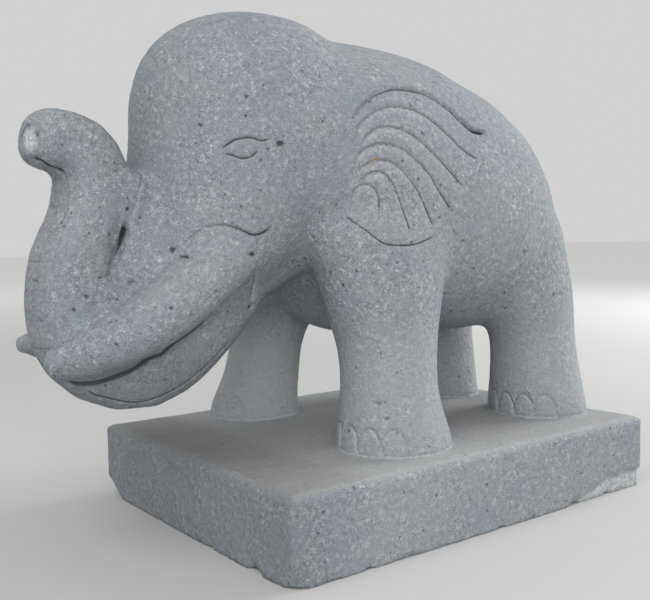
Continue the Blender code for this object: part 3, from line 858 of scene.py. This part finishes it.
def blemish_cover(places, blemish):
    """How far each place of the near flank lies under a blemish, from 0 to 1."""
    aside, above = places[:, 0] - blemish.x, places[:, 2] - blemish.z
    spread = np.hypot(aside / blemish.half_length, above / blemish.half_height)
    cover = np.zeros(len(places))
    near = np.flatnonzero((spread < 2) & (places[:, 1] < midline(places[:, 0])))
    ragged = spread[near] + 0.5 * unevenness(places[near], blemish.half_height, seed=4.4)
    cover[near] = np.clip(2.0 - 1.8 * ragged, 0, 1)
    return cover


def unevenness(places, size, seed):
    """Smooth noise at each place, about -1 to 1, with patches of this size."""
    shift = Vector((seed, seed * 2, seed * 3))
    return np.array([noise.noise(Vector(place) / size + shift) for place in places])


def chip_plinth(places, sizes):
    """Chips the plinth's lower edges and wears its two front corners round at their foot."""
    half_length, half_width = sizes.plinth_length / 2, sizes.plinth_width / 2
    inner_x, inner_y = half_length - np.abs(places[:, 0]), half_width - np.abs(places[:, 1])
    aside = np.minimum(inner_x, inner_y)
    low = np.flatnonzero((places[:, 2] < CHIP_ZONE) & (aside < CHIP_ZONE))
    spot = places[low]
    edge = np.hypot(aside[low], spot[:, 2])
    bite = np.clip(2.2 * unevenness(spot, sizes.chip_length, seed=3.1) - 0.2, 0, 1)
    bite += 0.4 * np.clip(unevenness(spot, sizes.chip_length / 3, seed=5.7), 0, 1)
    bite *= np.clip(0.5 + 1.5 * unevenness(spot, sizes.chip_length * 4, seed=7.9), 0.15, 1)
    bite *= sizes.edge_chips * np.clip(1 - edge / CHIP_REACH, 0, 1)
    inward = np.where(inner_x[low] < inner_y[low], -np.sign(spot[:, 0]), 0)
    sideward = np.where(inner_x[low] < inner_y[low], 0, -np.sign(spot[:, 1]))
    places[low] += np.stack([bite * inward, bite * sideward, bite * CHIP_LIFT], axis=1)
    beyond = 1 - (half_width - places[:, 1]) / WEDGE_WIDTH - places[:, 2] / WEDGE_HEIGHT
    beyond *= np.clip((-half_length + WEDGE_LENGTH - places[:, 0]) / WEDGE_LENGTH, 0, 1)
    lost = np.flatnonzero(beyond > 0)
    places[lost] += np.outer(beyond[lost], WEDGE_SHIFT)
    from_corner = np.hypot(places[:, 0] + half_length, places[:, 1] + half_width)
    worn = np.clip(1 - from_corner / WEAR_REACH, 0, 1) * np.clip(1 - places[:, 2] / WEAR_HEIGHT, 0, 1)
    return places + np.outer(worn, WEAR_SHIFT)


def broken_corner(places, sizes):
    """How far each place lies in the fresh break at the near rear corner's foot, from 0 to 1."""
    top = BREAK_TOP - np.clip(BREAK_LEVEL_X - places[:, 0], 0, 1) * BREAK_SLOPE
    ragged = BREAK_RAGGEDNESS * unevenness(places, BREAK_PATCH, seed=8.3)
    depth = sizes.plinth_width / 2 + places[:, 1]
    inside = np.clip((top + ragged - places[:, 2]) / BREAK_BORDER, 0, 1)
    return inside * np.clip(1 - depth / BREAK_DEPTH, 0, 1) * (places[:, 0] > BREAK_START_X)


class ELEPHANT_OT_rough_out(bpy.types.Operator):
    """Lofts the forms, fuses them with the plinth and softens their joins"""

    bl_idname = "elephant.rough_out"
    bl_label = "Rough Out the Block"

    def execute(self, context):
        forms = elephant_forms()
        skin = meshed([shape for _, shape in forms], PIECE)
        one_skin(skin)
        soften_joins(skin, forms)
        slab = plinth_slab(context.scene.elephant_sizes)
        stood_on(skin, meshed([slab], "plinth_slab"))
        for shape in [slab] + [shape for _, shape in forms]:
            shape.free()
        return {"FINISHED"}


class ELEPHANT_OT_carve(bpy.types.Operator):
    """Carves the ears, eyes, lips, tusks, trunk and toenails, and the tool's marks"""

    bl_idname = "elephant.carve"
    bl_label = "Carve the Elephant"

    def execute(self, context):
        sizes = context.scene.elephant_sizes
        piece = bpy.data.objects[PIECE]
        mesh = piece.data
        places, _ = mesh_points(mesh)
        lines = carved_lines(skin_tree(mesh, places), sizes.plinth_height)
        finer_near(mesh, lines)
        finer_near(mesh, lines, FINEST_REACH)
        places, facing = mesh_points(mesh)
        self.mark(mesh, places, facing, lines, sizes)
        deep = grooves(places, facing, lines)
        for blemish in BLEMISHES:
            deep = np.maximum(deep, blemish.depth * blemish_cover(places, blemish))
        uneven = sizes.dressing * unevenness(places, DRESSING_PATCH, seed=1.3)
        uneven += sizes.picking * unevenness(places, PICKING_PATCH, seed=2.9)
        uneven[places[:, 2] < VOXEL / 2] = 0
        places += facing * (uneven - deep)[:, None]
        places = chip_plinth(places, sizes)
        broken = broken_corner(places, sizes)
        places[:, 1] += BREAK_SIDE_LOSS * broken
        places[:, 0] -= BREAK_END_LOSS * broken * np.clip((places[:, 0] - BREAK_END_X) / BREAK_DEPTH, 0, 1)
        places[:, 2] = np.maximum(places[:, 2], 0)
        mesh.vertices.foreach_set("co", places.reshape(-1))
        mesh.update()
        thin = piece.modifiers.new("thin out", "DECIMATE")
        thin.ratio = TRIANGLES / sum(len(face.vertices) - 2 for face in mesh.polygons)
        applied(piece)
        piece.data.shade_smooth()
        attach(piece, "root")
        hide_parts(NODE)
        return {"FINISHED"}

    def mark(self, mesh, places, facing, lines, sizes):
        """Notes where the stone is bruised pale, darkened (painted shade in the cuts, dark blemishes and
        stains), or trodden and painted warmer as lit, as red, green and blue.
        """
        marks = np.zeros((len(places), 4), np.float32)
        marks[:, 3] = 1

        def mark_up(colour, amount, where=slice(None)):
            marks[where, colour] = np.maximum(marks[where, colour], amount)

        for line, cut in lines:
            near = near_line(places, line, max(cut.above, cut.below))
            share = groove_depth(places[near], facing[near], line, cut) / cut.depth
            pale = cut.pale * np.clip(2 * share, 0, 1) * np.clip(2.2 - 2 * share, 0.2, 1)
            mark_up(PALE, pale, near)
            # The dark in each cut's bed is painted shade
            mark_up(DARK, cut.dark * np.clip(2.2 * share - 0.8, 0, 1), near)
        for blemish in BLEMISHES:
            cover = blemish_cover(places, blemish)
            mark_up(PALE, max(blemish.tone, 0) * cover)
            mark_up(DARK, BLEMISH_DARKNESS * max(-blemish.tone, 0) * cover)
        rubbed = np.linalg.norm(places - TIP_RUB, axis=1) / TIP_RUB_REACH
        mark_up(PALE, np.clip(2.6 - 2.6 * rubbed, 0, 1))
        rim = np.clip(1 - np.abs(rubbed - RUB_RIM) / RUB_RIM_WIDTH, 0, 1)
        rim *= np.clip((places[:, 2] - TIP_RUB[2]) / RUB_RIM_HEIGHT, 0, 1)
        mark_up(DARK, RUB_RIM_DARKNESS * rim)
        mark_up(PALE, BREAK_PALENESS * broken_corner(places, sizes))
        ground = sizes.plinth_height
        for x, y, half_length, half_width, dark in STAINS:
            spread = np.hypot((places[:, 0] - x) / half_length, (places[:, 1] - y) / half_width)
            near = np.flatnonzero((spread < 2) & (np.abs(places[:, 2] - ground) < TOP_REACH + TOP_FADE / 2))
            ragged = spread[near] + 0.6 * unevenness(places[near], half_width, seed=6.1)
            mark_up(DARK, dark * np.clip(1.8 - 1.5 * ragged, 0, 1), near)
        # The plinth's top: worn smoother, and painted warmer as painted light
        on_top = np.clip((ground + TOP_REACH - places[:, 2]) / TOP_FADE, 0, 1)
        mark_up(TRODDEN_AND_WARM_LIT, on_top * np.clip(facing[:, 2] * 3 - 1.5, 0, 1))
        layer = mesh.attributes.new("marks", "FLOAT_COLOR", "POINT")
        layer.data.foreach_set("color", marks.reshape(-1))


class StoneNodes:
    """Short ways to lay out the nodes of the stone and of the floor."""

    def __init__(self, material):
        self.tree = material.node_tree
        self.place = self.node("TexCoord").outputs["Object"]
        wander = self.node("TexNoise", {"Vector": self.place, "Scale": WANDER_SCALE}).outputs["Color"]
        shift = {0: wander, 1: (WANDER, WANDER, WANDER), 2: self.place}
        self.ragged_place = self.node("VectorMath", shift, operation="MULTIPLY_ADD").outputs["Vector"]

    def node(self, kind, inputs=None, **settings):
        """A new node of this kind, with its settings made and then its inputs joined or set."""
        node = self.tree.nodes.new("ShaderNode" + kind)
        for name, value in settings.items():
            setattr(node, name, value)
        for name, value in (inputs or {}).items():
            self.link(value, node.inputs[name])
        return node

    def link(self, value, socket):
        """Joins an output to the socket, or sets the socket's own number or colour."""
        if isinstance(value, bpy.types.NodeSocket):
            self.tree.links.new(value, socket)
        else:
            socket.default_value = value

    def grain(self, per_metre, detail, roughness, shift=0.0):
        """Smooth noise with this many patches to the metre."""
        inputs = {"Vector": self.place, "W": shift, "Scale": per_metre}
        inputs.update({"Detail": detail, "Roughness": roughness})
        return self.node("TexNoise", inputs, noise_dimensions="4D").outputs["Fac"]

    def spots(self, per_metre, outer, inner, rarity):
        """Ragged spots scattered in cells of this many to the metre, only in the cells past the rarity."""
        node = self.node("TexVoronoi", {"Vector": self.ragged_place, "Scale": per_metre})
        chance = self.node("SeparateColor", {"Color": node.outputs["Color"]})
        size = self.ramp(chance.outputs["Green"], 0.0, 1.0, 0.6, 1.3)
        distance = self.maths("DIVIDE", node.outputs["Distance"], size)
        present = self.ramp(chance.outputs["Red"], rarity, rarity + 0.02)
        return self.times(self.ramp(distance, outer, inner), present)

    def ramp(self, value, low, high, to_low=0.0, to_high=1.0):
        """The value stretched so that low becomes to_low and high becomes to_high, and held there beyond."""
        inputs = {"Value": value, "From Min": low, "From Max": high, "To Min": to_low, "To Max": to_high}
        return self.node("MapRange", inputs, interpolation_type="SMOOTHSTEP").outputs["Result"]

    def maths(self, operation, first, second):
        return self.node("Math", {0: first, 1: second}, operation=operation).outputs["Value"]

    def times(self, first, *others):
        """All the values multiplied, in turn."""
        for other in others:
            first = self.maths("MULTIPLY", first, other)
        return first

    def blend(self, share, first, second):
        """One colour laid over another by the share."""
        inputs = {"Factor": share, "A": first, "B": second}
        return self.node("Mix", inputs, data_type="RGBA").outputs["Result"]


class ELEPHANT_OT_weather(bpy.types.Operator):
    """Gives the stone its grain, pores, bruises, stains, painted shade and light, and roughness"""

    bl_idname = "elephant.weather"
    bl_label = "Weather the Stone"

    def execute(self, context):
        colours = context.scene.elephant_colours
        material = bpy.data.materials.new("weathered_volcanic_stone")
        material.use_nodes = True
        n = StoneNodes(material)
        marks = n.node("Attribute", attribute_name="marks")
        split = n.node("SeparateColor", {"Color": marks.outputs["Color"]})
        bruised, shade_and_dark_marks, trodden_and_warm_lit = (split.outputs[name] for name in ("Red", "Green", "Blue"))

        calm = n.maths("SUBTRACT", 1.0, n.times(trodden_and_warm_lit, TRODDEN_CALM))
        clouds = n.ramp(n.grain(*CLOUDS), *CLOUD_RANGE)
        blotches = n.ramp(n.grain(*BLOTCHES), *BLOTCH_RANGE)
        base = n.blend(clouds, colours.stone, colours.cool_stone)
        # The worn colour of the plinth's top, with painted warm light
        base = n.blend(n.times(trodden_and_warm_lit, TRODDEN_AND_WARM_LIT_SHARE), base, colours.trodden_and_warm_lit)
        lively = n.times(n.ramp(blotches, 0.0, 1.0, CALMEST, 1.0), calm)
        grains = (MOTTLE, FINE_GRAIN, GRIT)
        noises = [n.grain(*grain[:4]) for grain in grains]
        for grain, value in zip(grains, noises):
            turns = (grain.pale, colours.pale_grain), (grain.dark, colours.dark_grain)
            for (start, end, most), colour in turns:
                share = n.times(n.ramp(value, start, end, 0.0, most), lively)
                base = n.blend(share, base, colour)

        fleck, pit, hole = (n.spots(*spots[:4]) for spots in (FLECK, PIT, HOLE))
        flecks = n.times(fleck, lively, FLECK.share)
        base = n.blend(flecks, base, colours.bruise)
        pits = n.times(pit, calm, PIT.share)
        base = n.blend(pits, base, colours.pore_and_painted_shade)
        base = n.blend(n.times(hole, HOLE.share), base, colours.pore_and_painted_shade)

        crushed = n.grain(*CRUSHED)
        bruise = n.times(bruised, n.ramp(crushed, *BRUISE_RANGE))
        base = n.blend(bruise, base, colours.bruise)
        # Painted shade in the carved cuts, with the dark blemishes and stains, in the pore colour
        base = n.blend(n.ramp(shade_and_dark_marks, *CREVICE_RANGE), base, colours.pore_and_painted_shade)
        base = self.dusted_and_painted_light(n, base, colours)
        spot = n.node("VectorMath", {0: n.place, 1: RUST_SPOT}, operation="DISTANCE")
        ragged = n.maths("ADD", spot.outputs["Value"], n.ramp(crushed, *RUST_EDGE))
        rust = n.ramp(ragged, RUST_REACH, RUST_REACH * 0.5)
        base = n.blend(n.times(rust, RUST_SHARE), base, colours.rust)

        mottle, fine = noises[:2]
        relief = n.maths("ADD", fine, n.times(mottle, MOTTLE_RELIEF))
        relief = n.times(relief, calm)
        relief = n.maths("SUBTRACT", relief, n.times(pit, PIT_RELIEF))
        relief = n.maths("SUBTRACT", relief, n.times(hole, HOLE_RELIEF))
        bump = n.node("Bump", {"Strength": 1.0, "Distance": RELIEF, "Height": relief})

        shader = material.node_tree.nodes["Principled BSDF"]
        n.link(base, shader.inputs["Base Color"])
        n.link(n.ramp(fine, *ROUGHNESS_RANGE), shader.inputs["Roughness"])
        shader.inputs["Specular IOR Level"].default_value = SPECULAR
        n.link(bump.outputs["Normal"], shader.inputs["Normal"])
        piece = bpy.data.objects[PIECE]
        piece.data.materials.clear()
        piece.data.materials.append(material)
        return {"FINISHED"}

    def dusted_and_painted_light(self, n, base, colours):
        """The colour with pale dust low on the legs, made paler on the far side as painted light, and painted
        shade under the trunk and down the plinth's front.
        """
        place = n.node("SeparateXYZ", {"Vector": n.place})
        x, y, z = (place.outputs[axis] for axis in "XYZ")
        dust_and_painted_light = n.times(n.ramp(z, *DUST_Z), n.ramp(x, *DUST_X), n.ramp(z, *DUST_OFF_GROUND))
        # Painted light: the dust is made paler still on the far side
        dust_and_painted_light = n.times(dust_and_painted_light, n.ramp(y, *FAR_SIDE_PAINTED_LIGHT))
        # Painted shade under the trunk and down the plinth's front, in the dark grain colour
        painted_shade = n.times(n.ramp(z, *PAINTED_SHADE_Z), n.ramp(x, *PAINTED_SHADE_X))
        base = n.blend(dust_and_painted_light, base, colours.dust_and_painted_light)
        return n.blend(painted_shade, base, colours.dark_grain)


class ELEPHANT_OT_stage(bpy.types.Operator):
    """Sets the pale floor, the soft light and the camera"""

    bl_idname = "elephant.set_stage"
    bl_label = "Set the Stage"

    def execute(self, context):
        studio = context.scene.elephant_studio
        shape = bmesh.new()
        bmesh.ops.create_grid(shape, x_segments=1, y_segments=1, size=FLOOR_HALF_SIZE)
        floor = meshed([shape], "floor")
        shape.free()
        paint = bpy.data.materials.new("pale_floor")
        paint.use_nodes = True
        shader = paint.node_tree.nodes["Principled BSDF"]
        n = StoneNodes(paint)
        # Painted light: the floor turns paler further off, where the softboxes don't reach
        away = n.node("VectorMath", {0: n.place}, operation="LENGTH")
        far = n.ramp(away.outputs["Value"], *FLOOR_FADE)
        n.link(n.blend(far, studio.floor, studio.far_floor_painted_light), shader.inputs["Base Color"])
        shader.inputs["Roughness"].default_value = FLOOR_ROUGHNESS
        floor.data.materials.append(paint)

        world = bpy.data.worlds.new("studio")
        world.use_nodes = True
        light = world.node_tree.nodes["Background"]
        light.inputs["Color"].default_value = studio.backdrop
        light.inputs["Strength"].default_value = studio.backdrop_light
        context.scene.world = world
        for name, place in SOFTBOXES.items():
            self.softbox(name.replace("_", " "), place, getattr(studio, name))

        lens = bpy.data.cameras.new("camera")
        lens.sensor_width = SENSOR
        lens.lens = LENS
        lens.clip_start = NEAREST
        camera = linked("camera", lens)
        camera.location = CAMERA_PLACE
        camera.rotation_euler = [math.radians(turn) for turn in CAMERA_TURNS]
        context.scene.camera = camera
        context.scene.view_settings.view_transform = "Standard"
        return {"FINISHED"}

    def softbox(self, name, place, power):
        """A square light aimed at the elephant."""
        light = bpy.data.lights.new(name, "AREA")
        light.size = SOFTBOX_SIZE
        light.energy = power
        lamp = linked(name, light)
        lamp.location = place
        lamp.rotation_euler = (Vector(AIM) - Vector(place)).to_track_quat("-Z", "Y").to_euler()


class ELEPHANT_PT_sidebar(bpy.types.Panel):
    """The elephant's steps and settings"""

    bl_label = "Stone Elephant"
    bl_idname = "ELEPHANT_PT_sidebar"
    bl_space_type = "VIEW_3D"
    bl_region_type = "UI"
    bl_category = "Elephant"

    def draw(self, context):
        scene = context.scene
        for settings in (scene.elephant_sizes, scene.elephant_colours, scene.elephant_studio):
            box = self.layout.box()
            for name in settings.__annotations__:
                box.prop(settings, name)
        for step in STEPS:
            self.layout.operator(step.bl_idname)


STEPS = (ELEPHANT_OT_rough_out, ELEPHANT_OT_carve, ELEPHANT_OT_weather, ELEPHANT_OT_stage)
SETTINGS = {
    "elephant_sizes": ElephantSizes,
    "elephant_colours": StoneColours,
    "elephant_studio": StudioSettings,
}


def register():
    for kind in (*SETTINGS.values(), *STEPS, ELEPHANT_PT_sidebar):
        bpy.utils.register_class(kind)
    for name, kind in SETTINGS.items():
        setattr(bpy.types.Scene, name, bpy.props.PointerProperty(type=kind))


def unregister():
    for name in SETTINGS:
        delattr(bpy.types.Scene, name)
    for kind in (ELEPHANT_PT_sidebar, *STEPS, *SETTINGS.values()):
        bpy.utils.unregister_class(kind)


def main():
    register()
    bpy.ops.elephant.rough_out()
    bpy.ops.elephant.carve()
    bpy.ops.elephant.weather()
    bpy.ops.elephant.set_stage()


if __name__ == "__main__":
    main()
